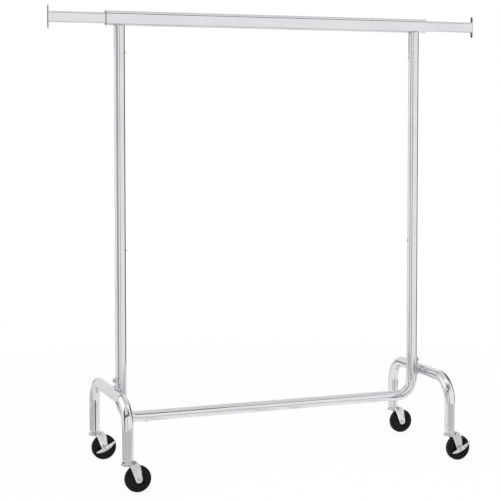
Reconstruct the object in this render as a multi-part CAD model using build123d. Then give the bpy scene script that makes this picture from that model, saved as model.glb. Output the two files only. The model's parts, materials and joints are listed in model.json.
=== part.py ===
from build123d import *
import math
import os

# Rolling clothes rack, in millimetres. X runs along the hanging rail, Y from front to back and Z up.
# The origin lies on the floor, midway between the posts.

# Round tube of the posts, leg arches and base rail
tube_od = 38.1
tube_wall = 1.5
cut_edge = 0.5

# Layout
post_spacing = 1126.0
leg_spacing = 456.0
base_rail_height = 200.0
arch_height = 295.0
rail_height = 1580.0
mid_seam_height = 770.0

# Bends, measured on the tube's centre line
elbow_radius = 57.0
elbow_stub = 57.0
arch_radius = 85.0

# Spigots of the knock-down joints
spigot_wall = 1.5
spigot_gap = 0.15
spigot_grip = 60.0
spigot_reach = 54.0
rail_spigot_length = 122.0
rail_collar = 3.0

# Hanging rail: centre sleeve and sliding extensions
sleeve_length = 1222.0
sleeve_depth = 25.4
sleeve_height = 50.8
sleeve_wall = 1.6
sleeve_corner = 11.0
extension_depth = 12.7
extension_height = 38.1
extension_wall = 1.5
extension_corner = 6.0
extension_shown = 196.5
pull_out_left = 50.0
glide_length = 40.0
glide_inset = 0.5
glide_gap = 0.3
glide_fit = 0.1
guide_length = 40.0
guide_tongue = 25.0
flange_depth = 16.0
flange_height = 80.0
flange_thickness = 2.5
flange_edge = 0.8

# Snap buttons and their leaf springs
button_diameter = 8.0
button_proud = 3.0
button_clearance = 0.15
button_round = 2.2
button_flange = 11.0
button_flange_thickness = 1.0
button_seat_gap = 0.2
top_button_drop = 92.6
mid_button_rise = 12.0
base_button_inset = 24.0
leaf_thickness = 0.8
leaf_width = 8.0
leaf_tail = 8.0
leaf_rise = 40.0
leaf_bend = 4.0
leaf_gap = 0.2

# Cradle bracket between a post and its arch
bracket_thickness = 3.0
bracket_height = 68.0
bracket_rise = 13.0
bracket_corner = 8.0
bracket_fit = 0.1
cradle_set = 4.0
saddle_width = 30.0
saddle_height = 32.0
weld_gap = 0.1
screw_diameter = 6.0
screw_clearance = 0.1
screw_head_diameter = 14.0
screw_head_height = 7.0
screw_head_round = 3.0
screw_head_sink = 1.5
screw_rise = 37.0
screw_inside = 8.0

# Caster: wheel
wheel_diameter = 90.0
wheel_width = 22.0
wheel_trail = 33.0
tyre_seat = 31.0
tyre_fit = 0.05
tyre_shoulder = 6.0
ring_radius = 36.5
ring_width = 1.6
ring_depth = 0.8
rim_inner = 25.0
rim_width = 19.0
web_width = 9.0
boss_radius = 11.0

# Caster: axle bolt and nut
axle_diameter = 8.0
axle_fit = 0.05
axle_head_diameter = 12.0
axle_head_height = 3.5
axle_head_round = 1.5
axle_tail = 1.5

# Caster: stamped fork
fork_sheet = 2.5
fork_side_gap = 0.3
fork_boss_run = 3.0
fork_bend = 4.0
fork_end_radius = 11.5
fork_front = 3.0
fork_rear = 38.0
fork_sweep = 14.0
fork_rim_width = 2.6
fork_rim_height = 1.2
bridge_height = 11.0
bridge_length = 9.0
bridge_slope = 7.0
bridge_round = 4.0
crown_radius = 22.5
crown_clearance = 1.0
crown_round = 1.6
race_height = 2.5
race_radius = 17.0
race_depth = 2.0

# Caster: cap, stem and kingpin
swivel_gap = 0.4
cap_radius = 21.0
cap_thickness = 5.0
cap_round = 1.8
cap_gap = 0.8
neck_radius = 13.0
neck_height = 8.0
shoulder_height = 1.6
kingpin_diameter = 10.0
kingpin_fit = 0.05
kingpin_head_diameter = 16.0
kingpin_head_height = 3.2
kingpin_head_gap = 0.3
stem_diameter = 11.0
stem_length = 36.0
stem_fit = 0.05
socket_height = 40.0
socket_fit = 0.1

# Caster: brake lever on the axle
lever_front = 35.0
lever_rear = 42.0
lever_rise = 4.0
lever_depth = 11.0
lever_tip = 3.5
lever_sheet = 2.0
lever_boss_radius = 9.5
lever_blend = 5.0
lever_gap = 0.2
lever_fit = 0.1
lever_edge = 3.0
lever_angle = 28.0

# Values that follow from the sizes above
tube_r = tube_od / 2
tube_bore = tube_r - tube_wall
spigot_r = tube_bore - spigot_gap
spigot_bore = spigot_r - spigot_wall
post_x = post_spacing / 2
leg_y = leg_spacing / 2
seam_x = post_x - elbow_radius - elbow_stub
cradle_inner = tube_r + bracket_fit
cradle_outer = cradle_inner + bracket_thickness
arch_offset = tube_od + weld_gap
arch_x = post_x + arch_offset

rail_bottom = rail_height - sleeve_height / 2
post_top = rail_bottom - rail_collar
sleeve_end = sleeve_length / 2
sleeve_bore = (sleeve_depth - 2 * sleeve_wall, sleeve_height - 2 * sleeve_wall, sleeve_corner - sleeve_wall)
glide_end = sleeve_end - glide_inset
extension_end = sleeve_end + extension_shown
extension_start = glide_end - glide_length - pull_out_left

button_r = button_diameter / 2
button_seat = math.sqrt(spigot_bore ** 2 - (button_flange / 2) ** 2) - button_seat_gap
leaf_seat = button_seat - button_flange_thickness
leaf_far = math.sqrt(spigot_bore ** 2 - (leaf_width / 2) ** 2) - leaf_gap - leaf_thickness

axle_height = wheel_diameter / 2
axle_r = axle_diameter / 2
boss_half = wheel_width / 2 + fork_boss_run - fork_side_gap
fork_inner = wheel_width / 2 + fork_boss_run
fork_outer = fork_inner + fork_sheet
crown_bottom = wheel_diameter + crown_clearance
crown_top = crown_bottom + fork_sheet + race_height
bridge_top = crown_bottom + bridge_height
cap_bottom = crown_top + swivel_gap
cap_top = cap_bottom + cap_thickness
leg_bottom = cap_top + neck_height + shoulder_height
lever_inner = fork_outer + fork_rim_height + lever_gap
lever_outer = lever_inner + lever_sheet

on_floor = (Align.CENTER, Align.CENTER, Align.MIN)
along_x = Rot(0, 90, 0)
along_y = Rot(-90, 0, 0)

# Where each snap button sits: its own +X points out of the tube, and +Z along it, the way the spring lies
half_turn = Rot(0, 0, 180)
spring_down = Rot(180, 0, 0)
button_places = {
    "top_left": Pos(-post_x, 0, rail_bottom - top_button_drop),
    "top_right": Pos(post_x, 0, rail_bottom - top_button_drop) * half_turn,
    "mid_left": Pos(-post_x, 0, mid_seam_height + mid_button_rise) * spring_down,
    "mid_right": Pos(post_x, 0, mid_seam_height + mid_button_rise) * half_turn * spring_down,
    "base_left": Pos(-seam_x - base_button_inset, 0, base_rail_height) * along_x,
    "base_right": Pos(seam_x + base_button_inset, 0, base_rail_height) * half_turn * along_x,
}
caster_places = {
    "front_left": (-arch_x, -leg_y),
    "rear_left": (-arch_x, leg_y),
    "front_right": (arch_x, -leg_y),
    "rear_right": (arch_x, leg_y),
}
braked_casters = ("rear_left", "front_right")


def pipe(outer, inner, length):
    return Cylinder(outer, length, align=on_floor) - Cylinder(inner, length, align=on_floor)


def bent_tube(points, bend_radius):
    path = FilletPolyline(*points, radius=bend_radius)
    section = Circle(tube_r) - Circle(tube_bore)
    return sweep(Plane(origin=path @ 0, z_dir=path % 0) * section, path=path)


def eased(tube):
    """Round the outer edges of a tube's cut ends, its only flat faces."""
    ends = tube.faces().filter_by(GeomType.PLANE)
    return fillet([edge for end in ends for edge in end.outer_wire().edges()], cut_edge)


def rounded_bar(depth, height, corner, start, length):
    """A bar along X with a rounded rectangular section, centred on the hanging rail."""
    section = Plane(origin=(start, 0, rail_height), x_dir=(0, 1, 0), z_dir=(1, 0, 0))
    return extrude(section * RectangleRounded(depth, height, corner), amount=length)


def button_hole(name):
    drill = Cylinder(button_r + button_clearance, tube_od, align=on_floor)
    return button_places[name] * along_x * drill


def other_side(part):
    return mirror(part, about=Plane.YZ)


# Hanging rail
def rail_sleeve():
    outside = rounded_bar(sleeve_depth, sleeve_height, sleeve_corner, -sleeve_end, sleeve_length)
    ends = outside.faces().filter_by(Axis.X)
    outside = fillet(ends.edges(), cut_edge)
    return outside - rounded_bar(*sleeve_bore, -sleeve_end, sleeve_length)


def rail_glide():
    depth, height, corner = sleeve_bore
    start = glide_end - glide_length
    collar = rounded_bar(
        depth - 2 * glide_fit, height - 2 * glide_fit, corner - glide_fit, start, glide_length)
    mouth = rounded_bar(
        extension_depth + 2 * glide_gap, extension_height + 2 * glide_gap,
        extension_corner + glide_gap, start, glide_length)
    return collar - mouth


def extension_rail():
    length = extension_end - extension_start
    outside = rounded_bar(extension_depth, extension_height, extension_corner, extension_start, length)
    inside = rounded_bar(
        extension_depth - 2 * extension_wall, extension_height - 2 * extension_wall,
        extension_corner - extension_wall, extension_start, length)
    return outside - inside


def end_flange():
    face = Plane(origin=(extension_end, 0, rail_height), x_dir=(0, 0, 1), z_dir=(1, 0, 0))
    flange = extrude(face * SlotOverall(flange_height, flange_depth), amount=flange_thickness)
    return fillet(flange.faces().filter_by(Axis.X).edges(), flange_edge)


def extension_guide():
    """Nylon block that runs in the sleeve, with a tongue driven into the extension's inner end."""
    depth, height, corner = sleeve_bore
    block = rounded_bar(
        depth - 2 * glide_gap, height - 2 * glide_gap, corner - glide_gap,
        extension_start - guide_length, guide_length)
    play = extension_wall + glide_fit
    tongue = rounded_bar(
        extension_depth - 2 * play, extension_height - 2 * play,
        extension_corner - play, extension_start, guide_tongue)
    return block + tongue


# Posts, elbows and base rail, right-hand side
def upper_post():
    length = post_top - mid_seam_height
    tube = Pos(post_x, 0, mid_seam_height) * eased(pipe(tube_r, tube_bore, length))
    return tube - button_hole("top_right") - button_hole("mid_right")


def lower_post():
    corner = (post_x, 0, base_rail_height)
    tube = bent_tube([(post_x, 0, mid_seam_height), corner, (seam_x, 0, base_rail_height)], elbow_radius)
    return eased(tube) - button_hole("base_right") - screw_hole()


def base_rail():
    return Pos(-seam_x, 0, base_rail_height) * along_x * eased(pipe(tube_r, tube_bore, 2 * seam_x))


def rail_spigot():
    """Stub under the hanging rail; its collar carries the rail on the post's end."""
    collar = Pos(post_x, 0, post_top) * Cylinder(tube_r, rail_collar, align=on_floor)
    stub = Pos(post_x, 0, post_top - rail_spigot_length) * pipe(spigot_r, spigot_bore, rail_spigot_length)
    return collar + stub - button_hole("top_right")


def post_spigot():
    start = Pos(post_x, 0, mid_seam_height - spigot_grip)
    return start * pipe(spigot_r, spigot_bore, spigot_grip + spigot_reach) - button_hole("mid_right")


def base_spigot():
    start = Pos(seam_x - spigot_grip, 0, base_rail_height)
    stub = start * along_x * pipe(spigot_r, spigot_bore, spigot_grip + spigot_reach)
    return stub - button_hole("base_right")


# Snap button and leaf spring, in the place's own axes
def snap_button():
    length = tube_r + button_proud - button_seat
    flange = Pos(0, 0, leaf_seat) * Cylinder(button_flange / 2, button_flange_thickness, align=on_floor)
    shank = Cylinder(button_r, length, align=on_floor)
    shank = fillet(shank.edges().sort_by(Axis.Z)[-1], button_round)
    return along_x * (flange + Pos(0, 0, button_seat) * shank)


def button_spring():
    near = leaf_seat - leaf_thickness / 2
    bend = [(near, 0, -leaf_tail), (near, 0, leaf_rise), (-leaf_far, 0, -leaf_tail)]
    path = FilletPolyline(*bend, radius=leaf_bend)
    section = Plane(origin=path @ 0, x_dir=(0, 1, 0), z_dir=path % 0)
    return sweep(section * Rectangle(leaf_width, leaf_thickness), path=path)


# Leg arch and the cradle that ties it to the post, right-hand side
def leg_arch():
    feet = [(arch_x, -leg_y, leg_bottom), (arch_x, -leg_y, arch_height)]
    feet += [(arch_x, leg_y, arch_height), (arch_x, leg_y, leg_bottom)]
    return eased(bent_tube(feet, arch_radius))


def screw_hole():
    drill = Cylinder(screw_diameter / 2 + screw_clearance, cradle_outer + screw_head_height, align=on_floor)
    return Pos(post_x, 0, arch_height + screw_rise) * along_x * drill


def post_bracket():
    middle = arch_height + bracket_rise
    shell = Cylinder(cradle_outer, bracket_height) - Cylinder(cradle_inner, bracket_height)
    outline = RectangleRounded(2 * cradle_outer, bracket_height, bracket_corner)
    side = Plane(origin=(post_x + cradle_set, 0, middle), x_dir=(0, 1, 0), z_dir=(1, 0, 0))
    cradle = Pos(post_x, 0, middle) * shell & extrude(side * outline, amount=cradle_outer)
    outward = (Align.MIN, Align.CENTER, Align.CENTER)
    saddle = Box(arch_offset, saddle_width, saddle_height, align=outward)
    saddle = Pos(post_x, 0, arch_height) * (saddle - Cylinder(cradle_inner, bracket_height))
    arch_bed = Pos(arch_x, 0, arch_height) * along_y * Cylinder(tube_r + weld_gap, leg_spacing)
    return cradle + saddle - arch_bed - screw_hole()


def bracket_screw():
    """Round-headed screw whose underside is hollowed to sit on the cradle."""
    seat = cradle_outer - screw_head_sink
    head = Cylinder(screw_head_diameter / 2, screw_head_sink + screw_head_height, align=on_floor)
    head = fillet(head.edges().sort_by(Axis.Z)[-1], screw_head_round)
    shank = Cylinder(screw_diameter / 2, screw_inside + bracket_thickness, align=on_floor)
    axis = Pos(post_x, 0, arch_height + screw_rise)
    head = axis * along_x * Pos(0, 0, seat) * head - axis * Cylinder(cradle_outer, 2 * screw_head_diameter)
    return head + axis * along_x * Pos(0, 0, cradle_outer - screw_inside - bracket_thickness) * shank


def leg_socket(x, y):
    return Pos(x, y, leg_bottom) * pipe(tube_bore - socket_fit, stem_diameter / 2 + stem_fit, socket_height)


# Caster pieces: the swivel axis is the local Z axis, the wheel trails towards +X
def wheel_round(section):
    return Pos(wheel_trail, 0, axle_height) * revolve(section, axis=Axis.Y)


def wheel_tyre():
    inner = tyre_seat + tyre_fit
    depth = wheel_diameter / 2 - inner
    section = Pos(inner, 0) * Rectangle(depth, wheel_width, align=(Align.MIN, Align.CENTER))
    section = fillet(section.vertices().group_by(Axis.X)[-1], tyre_shoulder)
    for side in (-1, 1):
        groove = Rectangle(ring_width, 2 * ring_depth)
        section -= Pos(ring_radius, side * wheel_width / 2) * groove
    return wheel_round(section)


def wheel_hub():
    bore = axle_r + axle_fit
    from_left = (Align.MIN, Align.CENTER)
    section = Pos(bore, 0) * Rectangle(boss_radius - bore, 2 * boss_half, align=from_left)
    section += Pos(bore, 0) * Rectangle(tyre_seat - bore, web_width, align=from_left)
    section += Pos(rim_inner, 0) * Rectangle(tyre_seat - rim_inner, rim_width, align=from_left)
    return wheel_round(section)


def fork_outline():
    """Side view of the fork: crown plate, bridge over the wheel, and an arm that narrows to the axle."""
    top = crown_bottom + fork_sheet
    plate_front = -math.sqrt(crown_radius ** 2 - fork_outer ** 2)
    bridge_front = cap_radius + cap_gap
    bridge_rear = bridge_front + bridge_length
    head = make_face(Polyline(
        (plate_front, crown_bottom), (plate_front, top), (bridge_front - bridge_slope, top),
        (bridge_front, bridge_top), (bridge_rear, bridge_top), (fork_rear, crown_bottom), close=True))
    end = Pos(wheel_trail, axle_height) * Circle(fork_end_radius)
    arm = make_hull([*end.edges(), Line((fork_front, crown_bottom), (fork_rear, crown_bottom))])
    outline = head + arm
    for corner, radius in (
            ((bridge_front, bridge_top), bridge_round), ((bridge_rear, bridge_top), bridge_round),
            ((fork_front, crown_bottom), fork_sweep)):
        outline = fillet(outline.vertices().sort_by_distance((*corner, 0))[0], radius)
    return outline


def upright(sketch, start, length):
    """Extrude a side view along Y, from start."""
    return extrude(Plane(origin=(0, start, 0), x_dir=(1, 0, 0), z_dir=(0, -1, 0)) * sketch, amount=-length)


def caster_fork():
    """Stamped fork, open front and back below the crown, with rolled borders on its arms."""
    outline = fork_outline()
    from_top = (Align.CENTER, Align.MAX)
    section = Pos(0, bridge_top) * Rectangle(2 * fork_outer, 2 * bridge_top, align=from_top)
    section = fillet(section.vertices().group_by(Axis.Y)[-1], fork_bend)
    across = Plane(origin=(-wheel_diameter, 0, 0), x_dir=(0, 1, 0), z_dir=(1, 0, 0))
    fork = upright(outline, -fork_outer, 2 * fork_outer)
    fork &= extrude(across * section, amount=3 * wheel_diameter)
    below = Pos(0, crown_bottom) * Rectangle(4 * wheel_diameter, 2 * crown_bottom, align=from_top)
    inside = upright(offset(outline, -fork_sheet) + below, -fork_inner, 2 * fork_inner)
    front_wall = Cylinder(cap_radius + cap_gap + fork_sheet, bridge_height, align=on_floor)
    fork -= inside - Pos(0, 0, crown_bottom) * front_wall

    rim = (outline - offset(outline, -fork_rim_width)) & below
    for start in (-fork_outer - fork_rim_height, fork_outer):
        fork += upright(rim, start, fork_rim_height)

    crown = Cylinder(crown_radius, fork_sheet + race_height, align=on_floor)
    crown = fillet(crown.edges().filter_by(GeomType.CIRCLE), crown_round)
    fork += Pos(0, 0, crown_bottom) * crown
    fork -= Pos(0, 0, crown_top - race_depth) * Cylinder(race_radius, race_depth, align=on_floor)
    fork -= Pos(0, 0, crown_top) * Cylinder(cap_radius + cap_gap, bridge_height, align=on_floor)
    pin_hole = Cylinder(kingpin_diameter / 2 + kingpin_fit, crown_top, align=on_floor)
    fork -= Pos(0, 0, crown_bottom) * pin_hole
    bolt_hole = Cylinder(axle_r + axle_fit, 4 * fork_outer)
    return fork - Pos(wheel_trail, 0, axle_height) * along_y * bolt_hole


def wheel_axle(has_lever):
    """Axle bolt: domed head at the front, hexagon nut at the back."""
    head_face = lever_outer + lever_gap if has_lever else fork_outer
    shank = Cylinder(axle_r, head_face + fork_outer + axle_head_height + axle_tail, align=on_floor)
    head = Cylinder(axle_head_diameter / 2, axle_head_height, align=(Align.CENTER, Align.CENTER, Align.MAX))
    head = fillet(head.edges().sort_by(Axis.Z)[0], axle_head_round)
    nut = extrude(RegularPolygon(axle_head_diameter / 2, 6), amount=axle_head_height)
    bolt = Pos(0, 0, -head_face) * (shank + head) + Pos(0, 0, fork_outer) * nut
    return Pos(wheel_trail, 0, axle_height) * along_y * bolt


def caster_stem():
    """Cap that the fork turns under, with a neck and the stem above it and the kingpin below."""
    cap = Cylinder(cap_radius, cap_thickness, align=on_floor)
    cap = fillet(cap.edges().filter_by(GeomType.CIRCLE), cap_round)
    neck = Pos(0, 0, cap_top) * Cylinder(neck_radius, neck_height, align=on_floor)
    shoulder = Pos(0, 0, cap_top + neck_height) * Cylinder(tube_r, shoulder_height, align=on_floor)
    stem = Pos(0, 0, leg_bottom) * Cylinder(stem_diameter / 2, stem_length, align=on_floor)
    head_bottom = crown_bottom - kingpin_head_gap - kingpin_head_height
    head = Pos(0, 0, head_bottom) * Cylinder(kingpin_head_diameter / 2, kingpin_head_height, align=on_floor)
    pin = Pos(0, 0, head_bottom) * Cylinder(kingpin_diameter / 2, leg_bottom - head_bottom, align=on_floor)
    return Pos(0, 0, cap_bottom) * cap + neck + shoulder + stem + head + pin


def lever_outline():
    """Rocker round the axle: straight on top, with a curved keel and a boss that swells above it."""
    top = Line((-lever_front, lever_rise), (lever_rear, lever_rise))
    right = Line(top @ 1, (lever_rear, lever_rise - lever_tip))
    lowest = ((lever_rear - lever_front) / 2, -lever_depth)
    keel = ThreePointArc(right @ 1, lowest, (-lever_front, lever_rise - lever_tip))
    outline = make_face([top, right, keel, Line(keel @ 1, top @ 0)]) + Circle(lever_boss_radius)
    reach = math.sqrt(lever_boss_radius ** 2 - lever_rise ** 2)
    for side in (-reach, reach):
        outline = fillet(outline.vertices().sort_by_distance((side, lever_rise, 0))[0], lever_blend)
    return outline


def brake_lever():
    """Pressed tray on the axle, its edge turned outwards all round, with a boss that bears on the fork."""
    lever = upright(lever_outline(), -lever_outer - lever_edge, lever_edge + lever_sheet)
    lever -= upright(offset(lever_outline(), -lever_sheet), -lever_outer - lever_edge, lever_edge)
    bearing = Circle(fork_end_radius - fork_rim_width - lever_gap)
    lever += upright(bearing, -lever_inner, lever_inner - fork_outer - lever_fit)
    lever -= along_y * Cylinder(axle_r + lever_fit, 4 * lever_outer)
    return Pos(wheel_trail, 0, axle_height) * Rot(0, -lever_angle, 0) * lever


def save(node, *solids):
    shape = solids[0] if len(solids) == 1 else Compound(children=list(solids))
    shape.label = node
    export_step(shape, f"parts/{node}.step")


def main():
    os.makedirs("parts", exist_ok=True)
    save("rail_sleeve", rail_sleeve())
    save("rail_glides", rail_glide(), other_side(rail_glide()))
    save("base_rail", base_rail())
    save("bracket_screws", bracket_screw(), other_side(bracket_screw()))
    save("leg_sockets", *[leg_socket(x, y) for x, y in caster_places.values()])

    sided = {
        "extension_rail": extension_rail, "end_flange": end_flange, "extension_guide": extension_guide,
        "upper_post": upper_post, "lower_post": lower_post, "rail_spigot": rail_spigot,
        "post_spigot": post_spigot, "base_spigot": base_spigot, "leg_arch": leg_arch,
        "post_bracket": post_bracket,
    }
    for node, make in sided.items():
        right = make()
        save(f"{node}_right", right)
        save(f"{node}_left", other_side(right))

    for name, place in button_places.items():
        save(f"snap_button_{name}", place * snap_button())
        save(f"button_spring_{name}", place * button_spring())

    for name, (x, y) in caster_places.items():
        place = Pos(x, y, 0)
        braked = name in braked_casters
        save(f"caster_stem_{name}", place * caster_stem())
        save(f"caster_fork_{name}", place * caster_fork())
        save(f"wheel_axle_{name}", place * wheel_axle(braked))
        save(f"wheel_tyre_{name}", place * wheel_tyre())
        save(f"wheel_hub_{name}", place * wheel_hub())
        if braked:
            save(f"brake_lever_{name}", place * brake_lever())


main()
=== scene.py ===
import bpy
import bmesh
import json
import math
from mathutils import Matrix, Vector


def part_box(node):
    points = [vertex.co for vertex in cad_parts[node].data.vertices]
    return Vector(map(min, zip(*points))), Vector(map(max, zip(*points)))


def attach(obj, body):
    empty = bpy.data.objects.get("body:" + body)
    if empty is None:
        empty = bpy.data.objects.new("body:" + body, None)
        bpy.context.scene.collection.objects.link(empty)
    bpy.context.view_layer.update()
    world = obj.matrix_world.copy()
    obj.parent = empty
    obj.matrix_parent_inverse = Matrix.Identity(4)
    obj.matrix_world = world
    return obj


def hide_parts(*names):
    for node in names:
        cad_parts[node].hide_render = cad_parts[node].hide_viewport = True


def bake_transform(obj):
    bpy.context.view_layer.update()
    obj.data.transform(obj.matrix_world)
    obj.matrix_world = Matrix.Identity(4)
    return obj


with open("model.json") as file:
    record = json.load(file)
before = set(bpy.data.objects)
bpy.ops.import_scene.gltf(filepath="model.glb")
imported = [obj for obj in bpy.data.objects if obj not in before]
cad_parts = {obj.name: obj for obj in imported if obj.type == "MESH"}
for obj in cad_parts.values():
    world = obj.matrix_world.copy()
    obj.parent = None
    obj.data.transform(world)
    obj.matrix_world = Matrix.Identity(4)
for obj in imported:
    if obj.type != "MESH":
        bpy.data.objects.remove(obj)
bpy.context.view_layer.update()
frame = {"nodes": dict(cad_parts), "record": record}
nodes = frame["nodes"]
corners = ("front_left", "rear_left", "front_right", "rear_right")
scene = bpy.context.scene
scene.view_settings.view_transform = "Standard"
print("frame loaded with", len(nodes), "nodes")


class Shade:  # wraps one output socket, so that shader maths is written as sums
    def __init__(self, tree, socket=None):
        self.tree = tree
        self.socket = socket

    def node(self, kind, settings=None, inputs=None, output=0):
        made = self.tree.nodes.new("ShaderNode" + kind)
        for name, value in (settings or {}).items():
            if name == "stops":
                self.setStops(made.color_ramp.elements, value)
            else:
                setattr(made, name, value)
        for name, value in (inputs or {}).items():
            if isinstance(value, Shade):
                self.tree.links.new(value.socket, made.inputs[name])
            else:
                made.inputs[name].default_value = value
        return Shade(self.tree, made.outputs[output] if made.outputs else None)

    def setStops(self, elements, stops):  # pairs of place and grey level
        while len(elements) < len(stops):
            elements.new(0.5)
        for element, (place, level) in zip(elements, stops):
            element.position = place
            element.color = (level, level, level, 1.0)

    def maths(self, operation, first, second=0.0, third=0.0):
        return self.node("Math", {"operation": operation}, {0: first, 1: second, 2: third})

    def __add__(self, other):
        return self.maths("ADD", self, other)

    def __radd__(self, other):
        return self.maths("ADD", other, self)

    def __sub__(self, other):
        return self.maths("SUBTRACT", self, other)

    def __rsub__(self, other):
        return self.maths("SUBTRACT", other, self)

    def __mul__(self, other):
        return self.maths("MULTIPLY", self, other)

    def __rmul__(self, other):
        return self.maths("MULTIPLY", other, self)


def opaque(colour):
    return (*colour, 1.0)


def emptyTree(owner):
    owner.use_nodes = True
    owner.node_tree.nodes.clear()
    return Shade(owner.node_tree)


def fade(start, value, low, high):  # 0 below low, 1 above high, smooth between
    eased = {"interpolation_type": "SMOOTHSTEP"}
    return start.node("MapRange", eased, {"Value": value, "From Min": low, "From Max": high})


def blendColour(start, share, first, second):
    first, second = (opaque(c) if isinstance(c, tuple) else c for c in (first, second))
    return start.node("Mix", {"data_type": "RGBA"}, {0: share, 6: first, 7: second}, 2)


# finishes: a colour pair, a roughness and its spread, and a fine relief for each metal
metalFinishes = {
    "tube_chrome": {
        "clean": (0.775, 0.78, 0.785), "hazed": (0.715, 0.72, 0.73), "rough": 0.03, "spread": 0.05,
        "cloud": 7.0, "stretch": (900.0, 900.0, 900.0), "relief": 0.012, "depth": 0.0001,
    },
    "rail_chrome": {
        "clean": (0.765, 0.77, 0.775), "hazed": (0.71, 0.715, 0.725), "rough": 0.04, "spread": 0.05,
        "cloud": 6.0, "stretch": (40.0, 900.0, 900.0), "relief": 0.012, "depth": 0.0001,
    },
    "bracket_zinc": {
        "clean": (0.82, 0.825, 0.83), "hazed": (0.66, 0.665, 0.675), "rough": 0.16, "spread": 0.12,
        "cloud": 30.0, "stretch": (700.0, 700.0, 700.0), "relief": 0.04, "depth": 0.0002,
    },
    "caster_zinc": {
        "clean": (0.88, 0.88, 0.875), "hazed": (0.62, 0.62, 0.62), "rough": 0.22, "spread": 0.14,
        "cloud": 60.0, "stretch": (900.0, 900.0, 900.0), "relief": 0.05, "depth": 0.0002,
    },
    "fastener_steel": {
        "clean": (0.68, 0.68, 0.675), "hazed": (0.52, 0.52, 0.53), "rough": 0.22, "spread": 0.16,
        "cloud": 90.0, "stretch": (600.0, 600.0, 600.0), "relief": 0.15, "depth": 0.0003,
    },
    "button_steel": {
        "clean": (0.62, 0.62, 0.625), "hazed": (0.46, 0.46, 0.47), "rough": 0.16, "spread": 0.12,
        "cloud": 120.0, "stretch": (600.0, 600.0, 600.0), "relief": 0.10, "depth": 0.0002,
    },
    "spring_steel": {
        "clean": (0.42, 0.42, 0.44), "hazed": (0.28, 0.28, 0.30), "rough": 0.28, "spread": 0.15,
        "cloud": 80.0, "stretch": (600.0, 60.0, 600.0), "relief": 0.10, "depth": 0.0002,
    },
}


def metalSkin(name):
    finish = metalFinishes[name]
    skin = bpy.data.materials.new(name + "_skin")
    start = emptyTree(skin)
    point = start.node("TexCoord", output="Object")
    cloud = start.node("TexNoise", {}, {"Vector": point, "Scale": finish["cloud"], "Detail": 4.0})
    along = start.node("Mapping", {}, {"Vector": point, "Scale": finish["stretch"]})
    grain = start.node("TexNoise", {}, {"Vector": along, "Scale": 1.0, "Detail": 5.0})
    haze = fade(start, cloud * 0.65 + grain * 0.35, 0.35, 0.68)
    rough = finish["rough"] + haze * finish["spread"]
    colour = blendColour(start, haze, finish["clean"], finish["hazed"])
    relief = {"Strength": finish["relief"], "Distance": finish["depth"], "Height": grain}
    face = {
        "Base Color": colour, "Roughness": rough, "Metallic": 1.0,
        "Normal": start.node("Bump", {}, relief),
    }
    start.node("OutputMaterial", {}, {"Surface": start.node("BsdfPrincipled", {}, face)})
    return skin


# mouldings: dark rubber and plastic, with fine grain, worn high spots and a little dust
mouldingFinishes = {
    "tyre_rubber": {
        "deep": (0.004, 0.004, 0.0042), "worn": (0.012, 0.012, 0.0125),
        "rough": 0.36, "spread": 0.25, "shine": 0.15,
        "cloud": 45.0, "grain": 900.0, "relief": 0.25, "depth": 0.0004,
    },
    "hub_plastic": {
        "deep": (0.005, 0.005, 0.0054), "worn": (0.013, 0.013, 0.014),
        "rough": 0.32, "spread": 0.20, "shine": 0.18,
        "cloud": 60.0, "grain": 1400.0, "relief": 0.20, "depth": 0.0003,
    },
    "nylon": {
        "deep": (0.06, 0.06, 0.062), "worn": (0.13, 0.13, 0.132),
        "rough": 0.40, "spread": 0.20, "shine": 0.50,
        "cloud": 50.0, "grain": 1000.0, "relief": 0.20, "depth": 0.0003,
    },
}


def mouldedSkin(name):
    finish = mouldingFinishes[name]
    skin = bpy.data.materials.new(name + "_skin")
    start = emptyTree(skin)
    point = start.node("TexCoord", output="Object")
    cloud = start.node("TexNoise", {}, {"Vector": point, "Scale": finish["cloud"], "Detail": 5.0})
    grain = start.node("TexNoise", {}, {"Vector": point, "Scale": finish["grain"], "Detail": 3.0})
    wear = fade(start, cloud * 0.7 + grain * 0.3, 0.40, 0.70)
    relief = {"Strength": finish["relief"], "Distance": finish["depth"], "Height": grain}
    face = {
        "Base Color": blendColour(start, wear, finish["deep"], finish["worn"]),
        "Roughness": finish["rough"] + wear * finish["spread"],
        "Specular IOR Level": finish["shine"],
        "Normal": start.node("Bump", {}, relief),
    }
    start.node("OutputMaterial", {}, {"Surface": start.node("BsdfPrincipled", {}, face)})
    return skin


skins = {name: metalSkin(name) for name in metalFinishes}
skins.update({name: mouldedSkin(name) for name in mouldingFinishes})
for part in frame["record"]["subparts"]:
    nodes[part["node"]].material_slots[0].material = skins[part["material_slot"]]
print("finishes made:", len(skins))


def ringMesh(name, rings):  # skin over rings of points, capped at both ends
    shell = bmesh.new()
    loops = [[shell.verts.new(point) for point in ring] for ring in rings]
    for near, far in zip(loops, loops[1:]):
        for first in range(len(near)):
            second = (first + 1) % len(near)
            shell.faces.new((near[first], near[second], far[second], far[first]))
    if rings[0] is not rings[-1]:
        shell.faces.new(loops[0][::-1])
        shell.faces.new(loops[-1])
    bmesh.ops.remove_doubles(shell, verts=shell.verts, dist=1e-6)
    bmesh.ops.recalc_face_normals(shell, faces=shell.faces)
    for face in shell.faces:
        face.smooth = True
    mesh = bpy.data.meshes.new(name)
    shell.to_mesh(mesh)
    shell.free()
    return mesh


sharpAngle = 40.0  # degrees, past which an edge stays crisp


def addPiece(name, mesh, slot, body=None):  # a piece that bends across a joint gets no body here
    piece = bpy.data.objects.new(name, mesh)
    scene.collection.objects.link(piece)
    mesh.materials.append(skins[slot])
    mesh.set_sharp_from_angle(angle=math.radians(sharpAngle))
    if body:
        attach(piece, body)
    return piece


def joinMeshes(name, meshes):
    whole = bmesh.new()
    for mesh in meshes:
        whole.from_mesh(mesh)
    joined = bpy.data.meshes.new(name)
    whole.to_mesh(joined)
    whole.free()
    return joined


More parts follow.
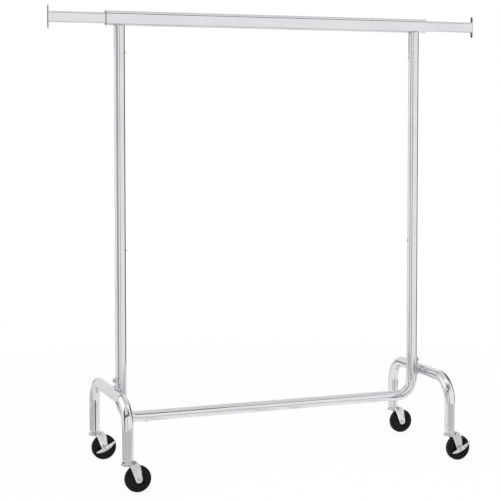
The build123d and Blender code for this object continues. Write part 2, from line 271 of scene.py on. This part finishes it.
# bracket screws: domed heads with a hexagon socket, seated on the cradle's curve
screwLook = {
    "segments": 48, "height": 0.007, "round": 0.003, "socket": 0.0023, "socketDepth": 0.0028, "lip": 0.0004,
    "cradle": 0.02215, "roundSteps": 6,
}


def hexagon(angle, corner):  # radius of a six-sided outline at an angle
    sector = math.pi / 3
    return corner * math.cos(sector / 2) / math.cos((angle % sector) - sector / 2)


def makeScrews():
    low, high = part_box("bracket_screws")
    radius, level = (high[2] - low[2]) / 2, (high[2] + low[2]) / 2
    look = screwLook
    postX = high[0] - look["height"] - look["cradle"]
    turns = [2 * math.pi * step / look["segments"] for step in range(look["segments"])]
    meshes = []
    for side in (-1, 1):
        def ring(reach, size):
            spots = [(size(a) * math.cos(a), size(a) * math.sin(a)) for a in turns]
            return [(side * (postX + reach(y)), y, level + z) for y, z in spots]

        top = look["cradle"] + look["height"]
        socket = lambda a: hexagon(a, look["socket"])
        lip = lambda a: look["socket"] + look["lip"]
        rings = [ring(lambda y: top - look["socketDepth"], socket), ring(lambda y: top - look["lip"], socket),
                 ring(lambda y: top, lip)]
        for step in range(look["roundSteps"] + 1):
            bend = math.pi / 2 * step / look["roundSteps"]
            size = radius - look["round"] * (1 - math.sin(bend))
            drop = look["round"] * (1 - math.cos(bend))
            rings.append(ring(lambda y: top - drop, lambda a: size))
        rings.append(ring(lambda y: math.sqrt(look["cradle"] ** 2 - y * y), lambda a: radius))
        meshes.append(ringMesh("screw", rings))
    piece = addPiece("socket_screws", joinMeshes("socket_screws", meshes), "fastener_steel", "frame")
    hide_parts("bracket_screws")


# axle bolts: domed head in front, chamfered nut and a threaded tail behind
axleLook = {
    "segments": 48, "shank": 0.004, "headHeight": 0.0035, "round": 0.0015, "roundSteps": 5,
    "nut": 0.0035, "tail": 0.0015, "chamfer": 0.0004, "bevel": 0.0053,
    "pitch": 0.0008, "root": 0.0003, "threadSteps": 12,
}


def makeAxle(corner):
    low, high = (Vector(end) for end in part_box("wheel_axle_" + corner))
    look = axleLook
    middle, radius = (low + high) / 2, (high.x - low.x) / 2
    turns = [2 * math.pi * step / look["segments"] for step in range(look["segments"])]

    def ring(y, size):
        return [(middle.x + size(a) * math.cos(a), y, middle.z + size(a) * math.sin(a)) for a in turns]

    def thread(y):
        def size(a):
            phase = (y / look["pitch"] - a / (2 * math.pi)) % 1
            return look["shank"] - look["root"] * abs(phase * 2 - 1)
        return size

    def bevelled(a):
        return min(look["bevel"], hexagon(a, radius))

    rings = []
    for step in range(look["roundSteps"] + 1):
        bend = math.pi / 2 * step / look["roundSteps"]
        size = radius - look["round"] * (1 - math.sin(bend))
        rings.append(ring(low.y + look["round"] * (1 - math.cos(bend)), lambda a: size))
    nutEnd = high.y - look["tail"]
    nutStart = nutEnd - look["nut"]
    headEnd = low.y + look["headHeight"]
    rings += [ring(headEnd, lambda a: radius), ring(headEnd, lambda a: look["shank"])]
    rings += [ring(nutStart, lambda a: look["shank"]), ring(nutStart, bevelled)]
    for y in (nutStart + look["chamfer"], nutEnd - look["chamfer"]):
        rings.append(ring(y, lambda a: hexagon(a, radius)))
    rings.append(ring(nutEnd, bevelled))
    for step in range(look["threadSteps"] + 1):
        y = nutEnd + (look["tail"] - look["chamfer"]) * step / look["threadSteps"]
        rings.append(ring(y, thread(y)))
    rings.append(ring(high.y, lambda a: look["shank"] - 2 * look["root"]))
    name = "axle_bolt_" + corner
    piece = addPiece(name, ringMesh(name, rings), "fastener_steel", "fork_" + corner)
    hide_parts("wheel_axle_" + corner)


# leaf springs: bent strips behind the snap buttons, which close when a button is pressed
leafLook = {
    "places": ("top_left", "top_right", "mid_left", "mid_right", "base_left", "base_right"),
    "thick": 0.0008, "tail": 0.008, "rise": 0.040, "bend": 0.004,
    "hold": 0.006,  # gives a point near the strip's apex, which is worked out and then not used
    "legSteps": 16, "bendSteps": 16,
}


def makeLeaf(place):
    look = leafLook
    low, high = (Vector(end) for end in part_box("button_spring_" + place))
    first, last = (Vector(end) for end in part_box("snap_button_" + place))
    seat = (first + last) / 2
    away = (low + high) / 2 - seat
    outAxis, upAxis = (2, 0) if place.startswith("base") else (0, 2)
    out, up, wide = Vector(), Vector(), Vector((0.0, (high.y - low.y) / 2, 0.0))
    out[outAxis] = -math.copysign(1.0, away[outAxis])
    up[upAxis] = math.copysign(1.0, away[upAxis])
    seat[outAxis] = high[outAxis] if out[outAxis] > 0 else low[outAxis]
    depth, length = high[outAxis] - low[outAxis], look["tail"] + look["rise"]
    slope = math.atan((depth - look["thick"]) / length)
    near, far = -look["thick"] / 2, -depth + look["thick"] / 2 * math.cos(slope)
    bendStart, sweep = look["rise"] - look["bend"] / math.tan(slope / 2), math.pi - slope
    route = [(near, -look["tail"] + (bendStart + look["tail"]) * step / look["legSteps"], 0.0)
             for step in range(look["legSteps"])]
    for step in range(look["bendSteps"] + 1):
        turn = sweep * step / look["bendSteps"]
        inward, rise = look["bend"] * (1 - math.cos(turn)), look["bend"] * math.sin(turn)
        route.append((near - inward, bendStart + rise, turn))
    route.append((far, -look["tail"], sweep))
    rings = []
    for across, along, turn in route:
        spot = seat + out * across + up * along
        lift = (out * math.cos(turn) + up * math.sin(turn)) * look["thick"] / 2
        rings.append([spot + wide + lift, spot - wide + lift, spot - wide - lift, spot + wide - lift])
    name = "leaf_spring_" + place
    piece = addPiece(name, ringMesh(name, rings), "spring_steel")
    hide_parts("button_spring_" + place)
    apex = seat + out * near + up * look["rise"]
    reach = (out * math.cos(slope) - up * math.sin(slope)) * (look["rise"] - look["hold"]) * math.sin(slope)
    tuple(apex + reach)
    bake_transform(piece)


# weld beads: rippled fillets under the rail, on the brackets and round the flanges
beadLook = {"sides": 10, "pitch": 0.0018, "ripple": 0.14, "stepsPerRipple": 6, "tip": 0.35, "tipSteps": 4}


def weldBead(name, route, radiusAt, across, body, slot, closed=False):
    look = beadLook
    lengths = [0.0]
    for near, far in zip(route, route[1:]):
        lengths.append(lengths[-1] + (far - near).length)
    count = round(lengths[-1] / look["pitch"]) * look["stepsPerRipple"]
    rings = []
    leg = 0
    for step in range(count + 1):
        place = lengths[-1] * step / count
        while leg < len(route) - 2 and place > lengths[leg + 1]:
            leg += 1
        along = (route[leg + 1] - route[leg]).normalized()
        spot = route[leg] + along * (place - lengths[leg])
        size = radiusAt(spot) * (1 + look["ripple"] * abs(math.sin(math.pi * step / look["stepsPerRipple"])))
        if not closed:
            size *= look["tip"] + (1 - look["tip"]) * min(
                1.0, step / look["tipSteps"], (count - step) / look["tipSteps"])
        side = along.cross(across).normalized() * size
        lift = across.normalized() * size
        rings.append([spot + side * math.cos(a) + lift * math.sin(a)
                      for a in (2 * math.pi * k / look["sides"] for k in range(look["sides"]))])
    if closed:
        rings[-1] = rings[0]
    addPiece(name, ringMesh(name, rings), slot, body)


railWeld = {"half": 0.015, "out": 0.0088, "lift": 0.0010, "radius": 0.0017}
archWeld = {"half": 0.013, "out": 0.0105, "rise": 0.0162, "radius": 0.0014}
flangeWeld = {
    "depth": 0.0127, "height": 0.0381, "corner": 0.006, "cornerSteps": 8,
    "thin": 0.0006, "thick": 0.00085, "growth": 6,  # thick at the top and bottom, thin on the sides
}


def flangeRoute(x, level):  # once round the extension's section
    look = flangeWeld
    inset = (look["depth"] / 2 - look["corner"], look["height"] / 2 - look["corner"])
    route = []
    for quarter, (y, z) in enumerate(((1, 1), (-1, 1), (-1, -1), (1, -1))):
        for step in range(look["cornerSteps"] + 1):
            turn = math.pi / 2 * (quarter + step / look["cornerSteps"])
            across = y * inset[0] + look["corner"] * math.cos(turn)
            rise = z * inset[1] + look["corner"] * math.sin(turn)
            route.append(Vector((x, across, level + rise)))
    return route + route[:1]


def makeWelds():
    up = Vector((0.0, 0.0, 1.0))
    for side, sign in (("left", -1), ("right", 1)):
        low, high = (Vector(end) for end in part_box("rail_spigot_" + side))
        middle = (low + high) / 2
        for name, front in (("front", -1), ("rear", 1)):
            y, z = front * railWeld["out"], high.z + railWeld["lift"]
            route = [Vector((middle.x + end * railWeld["half"], y, z)) for end in (-1, 1)]
            weldBead(
                f"rail_weld_{side}_{name}", route, lambda spot: railWeld["radius"], up,
                "frame", "tube_chrome")
        low, high = (Vector(end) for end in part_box("leg_arch_" + side))
        tube = (high.x - low.x) / 2
        x, level = (low.x + high.x) / 2 - sign * archWeld["out"], high.z - tube
        for name, above in (("upper", 1), ("lower", -1)):
            z = level + above * archWeld["rise"]
            route = [Vector((x, end * archWeld["half"], z)) for end in (-1, 1)]
            weldBead(
                f"arch_weld_{side}_{name}", route, lambda spot: archWeld["radius"], up,
                "frame", "tube_chrome")
        low, high = (Vector(end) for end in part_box("end_flange_" + side))
        face, level = (low.x if sign > 0 else high.x), (low.z + high.z) / 2
        weldBead(
            "flange_weld_" + side, flangeRoute(face, level),
            lambda spot: flangeWeld["thin"] + (flangeWeld["thick"] - flangeWeld["thin"])
            * abs((spot.z - level) / (flangeWeld["height"] / 2)) ** flangeWeld["growth"],
            Vector((1.0, 0.0, 0.0)), "extension_" + side, "rail_chrome", closed=True)


makeScrews()
for corner in corners:
    makeAxle(corner)
for place in leafLook["places"]:
    makeLeaf(place)
makeWelds()
print("screws, axle bolts, leaf springs and welds made")


# studio: a white room as polished metal shows it, by elevation in degrees
studio = {
    "ambient": 0.62,  # what the room gives to matt surfaces
    "levels": [(-90, 0.90), (0, 0.98), (14, 1.0), (26, 1.06), (48, 0.80), (66, 0.80), (90, 0.90)],
    "behind": 0.13,  # how much dimmer the room is behind the rack
    "second": 0.12,  # how much is lost where metal shows other metal
}


def seenDirectly(start):  # 1 for the camera, and through glass
    through = start.node("LightPath", output="Is Transmission Ray")
    return start.node("LightPath", output="Is Camera Ray") + through


def secondLook(start):
    again = start.maths("GREATER_THAN", start.node("LightPath", output="Glossy Depth"), 1.5)
    return 1 - again * studio["second"]


def makeWorld():
    world = bpy.data.worlds.new("studio")
    scene.world = world
    start = emptyTree(world)
    sight = start.node("TexCoord", output="Generated")
    rise = start.maths("ARCSINE", start.node("SeparateXYZ", {}, {"Vector": sight}, "Z"))
    stops = [((angle + 90) / 180, level) for angle, level in studio["levels"]]
    light = start.node("ValToRGB", {"stops": stops}, {"Fac": rise * (1 / math.pi) + 0.5})
    deep = start.node("SeparateXYZ", {}, {"Vector": sight}, "Y")
    light = light * (1 - fade(start, deep, 0.6, 0.8) * studio["behind"]) * secondLook(start)
    seen = seenDirectly(start)
    shiny = start.node("LightPath", output="Is Glossy Ray")
    strength = seen + shiny * light + (1 - seen) * (1 - shiny) * studio["ambient"]
    sky = start.node("Background", {}, {"Color": (1.0, 1.0, 1.0, 1.0), "Strength": strength})
    start.node("OutputWorld", {}, {"Surface": sky})


# cards: dark nets and bright sheets round the rack that only polished metal sees
# turn 0 and tilt 0 face the front; a card with a tilt of 90 shows downwards only, and lies at the
# camera's height, where no post shows it
cameraHeight = 1.2426
cards = {
    "topNet": {
        "centre": (0.85, -2.498, 2.465), "size": (4.1, 1.20), "tilt": 46.35, "soft": 0.04, "cover": 0.95},
    "baseNet": {
        "centre": (0.0, -0.965, cameraHeight), "size": (0.7, 0.70), "tilt": 90, "soft": 0.06, "cover": 0.80},
    "thinNet": {
        "centre": (0.72, -0.98, cameraHeight), "size": (0.8, 0.62), "tilt": 90, "soft": 0.10, "cover": 0.50},
    "joinNet": {
        "centre": (-1.0, -1.27, cameraHeight), "size": (1.5, 0.34), "tilt": 90, "soft": 0.05, "cover": 0.80},
    "streakNet": {
        "centre": (-3.9, -1.45, cameraHeight), "size": (4.8, 0.9), "turn": 15, "tilt": 90,
        "soft": 0.1, "cover": 0.85},
    "sideNet": {
        "centre": (-1.143, -0.391, 0.96), "size": (0.25, 1.7), "turn": -56, "soft": 0.03, "cover": 0.62},
    "farNet": {"centre": (-3.39, -0.63, 0.6), "size": (1.12, 4.4), "turn": -81, "soft": 0.08, "cover": 0.60},
    "frontNet": {"centre": (-1.1, -2.4, 0.5), "size": (0.85, 4.2), "turn": -82, "soft": 0.05, "cover": 0.92},
    "rightNet": {"centre": (3.2, 2.15, 0.5), "size": (4.1, 4.0), "turn": 90, "soft": 0.10, "cover": 0.80},
    "nearNet": {"centre": (1.7, 0.45, 0.75), "size": (1.0, 1.9), "turn": 90, "soft": 0.05, "cover": 0.85},
    "rearNet": {"centre": (-0.75, 2.0, 1.75), "size": (1.7, 0.4), "soft": 0.05, "cover": 0.85},
    "lowNet": {"centre": (-0.5, 2.0, 0.22), "size": (0.8, 0.45), "soft": 0.05, "cover": 0.85},
    "legNet": {"centre": (-0.601, -0.1, 0.14), "size": (0.115, 0.28), "soft": 0.01, "cover": 0.95},
    "leftSheet": {
        "centre": (-1.5, 0.4, cameraHeight), "size": (1.35, 1.75), "tilt": 90, "soft": 0.1, "light": 0.7},
    "bendSheet": {
        "centre": (0.15, -0.25, cameraHeight), "size": (0.6, 0.3), "tilt": 90, "soft": 0.05, "light": 0.7},
    "frontSheet": {
        "centre": (0.72, -0.46, cameraHeight), "size": (0.45, 0.28), "tilt": 90, "soft": 0.05, "light": 0.7},
}


def cardSkin(name, card):
    skin = bpy.data.materials.new(name + "_skin")
    start = emptyTree(skin)
    point = start.node("TexCoord", output="Object")
    cover = card.get("cover", 1.0)
    for axis, size in zip("XZ", card["size"]):
        along = start.node("SeparateXYZ", {}, {"Vector": point}, axis)
        cover = cover * fade(start, size / 2 - start.maths("ABSOLUTE", along), 0.0, card["soft"])
    if card.get("tilt") == 90:
        cover = cover * (1 - start.node("NewGeometry", output="Backfacing"))
    clear = start.node("BsdfTransparent")
    face = start.node("Emission", {}, {"Strength": card.get("light", 0.0)})
    if "light" in card:  # a sheet adds to what lies behind it
        face = start.node("AddShader", {}, {0: clear, 1: face})
    start.node("OutputMaterial", {}, {"Surface": start.node("MixShader", {}, {0: cover, 1: clear, 2: face})})
    return skin


def makeCards():
    arches = bpy.data.collections.new("arches")  # the sheets light these two alone
    for side in ("left", "right"):
        arches.objects.link(nodes["leg_arch_" + side])
    for name, card in cards.items():
        cloth = bmesh.new()
        bmesh.ops.create_grid(cloth, x_segments=4, y_segments=4, size=0.5)
        for corner in cloth.verts:
            corner.co = (corner.co.x * card["size"][0], 0.0, corner.co.y * card["size"][1])
        mesh = bpy.data.meshes.new(name)
        cloth.to_mesh(mesh)
        cloth.free()
        mesh.materials.append(cardSkin(name, card))
        made = bpy.data.objects.new(name, mesh)
        made.location = card["centre"]
        made.rotation_euler = (math.radians(card.get("tilt", 0)), 0.0, math.radians(card.get("turn", 0)))
        scene.collection.objects.link(made)
        for ray in ("camera", "diffuse", "transmission", "shadow", "volume_scatter"):
            setattr(made, "visible_" + ray, False)
        if "light" in card:
            made.light_linking.receiver_collection = arches


# floor: white to the camera, with a soft shadow; metal sees it bright under the rack and grey in front
floorPlan = {
    "reach": 40.0, "colour": (0.90, 0.90, 0.90), "glow": 0.92, "clearFrom": 1.2, "clearTo": 3.5,
    "grey": 0.64, "bright": 1.0, "behind": 0.74,  # light that polished metal sees
    "streaks": 9.0, "streakDepth": 0.16,
    "frontEdge": (-0.85, -0.05), "leftEdge": (-1.2, -0.4), "rearEdge": (0.7, 1.3), "mirrorEdge": (1.4, 1.8),
}


def makeFloor():
    plane = bmesh.new()
    bmesh.ops.create_grid(plane, x_segments=8, y_segments=8, size=floorPlan["reach"])
    mesh = bpy.data.meshes.new("floor")
    plane.to_mesh(mesh)
    plane.free()
    floor = bpy.data.objects.new("floor", mesh)
    scene.collection.objects.link(floor)
    skin = bpy.data.materials.new("floor_skin")
    start = emptyTree(skin)
    point = start.node("TexCoord", output="Object")
    across, deep = (start.node("SeparateXYZ", {}, {"Vector": point}, axis) for axis in "XY")
    away = start.node("VectorMath", {"operation": "LENGTH"}, {0: point}, "Value")
    share = floorPlan["glow"] + (1 - floorPlan["glow"]) * fade(
        start, away, floorPlan["clearFrom"], floorPlan["clearTo"])
    seen = seenDirectly(start)
    matt = start.node("BsdfDiffuse", {}, {"Color": opaque(floorPlan["colour"])})
    glow = start.node("Emission", {}, {"Color": (1.0, 1.0, 1.0, 1.0), "Strength": 1.0})
    shown = start.node("MixShader", {}, {0: share * seen, 1: matt, 2: glow})
    lit = fade(start, deep, *floorPlan["frontEdge"]) * fade(start, across, *floorPlan["leftEdge"])
    level = floorPlan["grey"] + (floorPlan["bright"] - floorPlan["grey"]) * lit
    level = level + (floorPlan["behind"] - level) * fade(start, deep, *floorPlan["rearEdge"])
    stripes = {"W": across, "Scale": floorPlan["streaks"], "Detail": 2.0}
    bands = start.node("TexNoise", {"noise_dimensions": "1D"}, stripes)
    level = level * (1 - fade(start, bands, 0.5, 0.62) * floorPlan["streakDepth"]) * secondLook(start)
    mirrored = start.node("Emission", {}, {"Color": level})
    gone = fade(start, away, *floorPlan["mirrorEdge"])  # past this, metal sees the room instead
    mirrored = start.node("MixShader", {}, {0: gone, 1: mirrored, 2: start.node("BsdfTransparent")})
    shiny = start.node("LightPath", output="Is Glossy Ray")
    whole = start.node("MixShader", {}, {0: shiny, 1: shown, 2: mirrored})
    start.node("OutputMaterial", {}, {"Surface": whole})
    mesh.materials.append(skin)


lamps = {
    "keyLamp": {"place": (-2.6, -3.2, 3.4), "size": 2.4, "power": 60.0},
    "fillLamp": {"place": (3.0, -2.4, 2.4), "size": 2.4, "power": 30.0},
    "topLamp": {"place": (0.0, 0.6, 4.2), "size": 3.0, "power": 45.0},
}
lampAim = Vector((0.0, 0.0, 0.7))


def makeLamps():
    for name, lamp in lamps.items():
        data = bpy.data.lights.new(name, "AREA")
        data.size = lamp["size"]
        data.energy = lamp["power"]
        made = bpy.data.objects.new(name, data)
        made.location = lamp["place"]
        made.rotation_euler = (lampAim - made.location).to_track_quat("-Z", "Y").to_euler()
        made.visible_glossy = False  # metal shows the room and its cards instead
        scene.collection.objects.link(made)


# camera: at the photograph's place, looking down a little, with the rest of the drop left to the lens shift
photo = {
    "imageSize": 500, "focalPixels": 1333.8, "shiftPixels": -63.1, "sensor": 36.0,
    "place": (-1.7488, -4.4503, cameraHeight), "turn": -20.493, "dip": 3.0,
}


def makeCamera():
    data = bpy.data.cameras.new("photoCamera")
    data.sensor_width = photo["sensor"]
    data.lens = photo["sensor"] * photo["focalPixels"] / photo["imageSize"]
    data.shift_y = photo["shiftPixels"] / photo["imageSize"]
    camera = bpy.data.objects.new("photoCamera", data)
    camera.location = photo["place"]
    camera.rotation_euler = (math.radians(90.0 - photo["dip"]), 0.0, math.radians(photo["turn"]))
    scene.collection.objects.link(camera)
    scene.camera = camera


makeWorld()
makeCards()
makeFloor()
makeLamps()
makeCamera()
print("studio, lamps and camera set")
